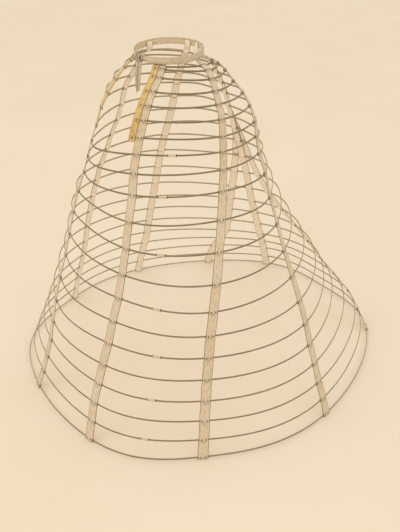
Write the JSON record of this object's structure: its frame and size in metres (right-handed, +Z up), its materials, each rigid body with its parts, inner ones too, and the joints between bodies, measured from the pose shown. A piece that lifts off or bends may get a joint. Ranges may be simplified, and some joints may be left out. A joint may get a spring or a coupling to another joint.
{
  "type": "crinoline cage",
  "caption": "Bell-shaped hoop-skirt frame of covered steel hoops carried on woven tapes from a tied waistband, fuller at the back.",
  "frame": {"origin": "middle of the waistband's opening, halfway up the band", "axes": "+Z up through the waist opening, -Y to the wearer's front, +X to the wearer's left"},
  "size_m": [1.0404, 1.1158, 0.961],
  "materials": {
    "hoop_cover": "braided cotton over flat spring steel",
    "tape": "woven twill tape, ecru",
    "band": "double-folded woven tape",
    "tie": "soft woven tie",
    "facing": "ochre kid leather",
    "rivet": "darkened",
    "sleeve": "dull tinned"
  },
  "bodies": {
    "root": {"hoop_01": "hoop_cover", "hoop_02": "hoop_cover", "hoop_03": "hoop_cover", "hoop_04": "hoop_cover", "hoop_05": "hoop_cover", "hoop_06": "hoop_cover", "hoop_07": "hoop_cover", "hoop_08": "hoop_cover", "hoop_09": "hoop_cover", "hoop_10": "hoop_cover", "hoop_11": "hoop_cover", "hoop_12": "hoop_cover", "hoop_13": "hoop_cover", "hoop_14": "hoop_cover", "hoop_15": "hoop_cover", "hoop_16": "hoop_cover", "hoop_17": "hoop_cover", "hoop_18": "hoop_cover", "hoop_19": "hoop_cover", "hoop_20": "hoop_cover", "hoop_21": "hoop_cover", "front_right_tape": "tape", "front_left_tape": "tape", "side_front_left_tape": "tape", "side_back_left_tape": "tape", "centre_back_tape": "tape", "side_back_right_tape": "tape", "side_front_right_tape": "tape", "back_right_tape": "tape", "back_left_tape": "tape", "waistband": "band", "waist_knot": "tie", "tie_tail": "tie", "left_facing": "facing", "right_facing": "facing", "tape_rivets": "rivet", "facing_rivets": "rivet", "hoop_sleeves": "sleeve"}
  },
  "joints": []
}
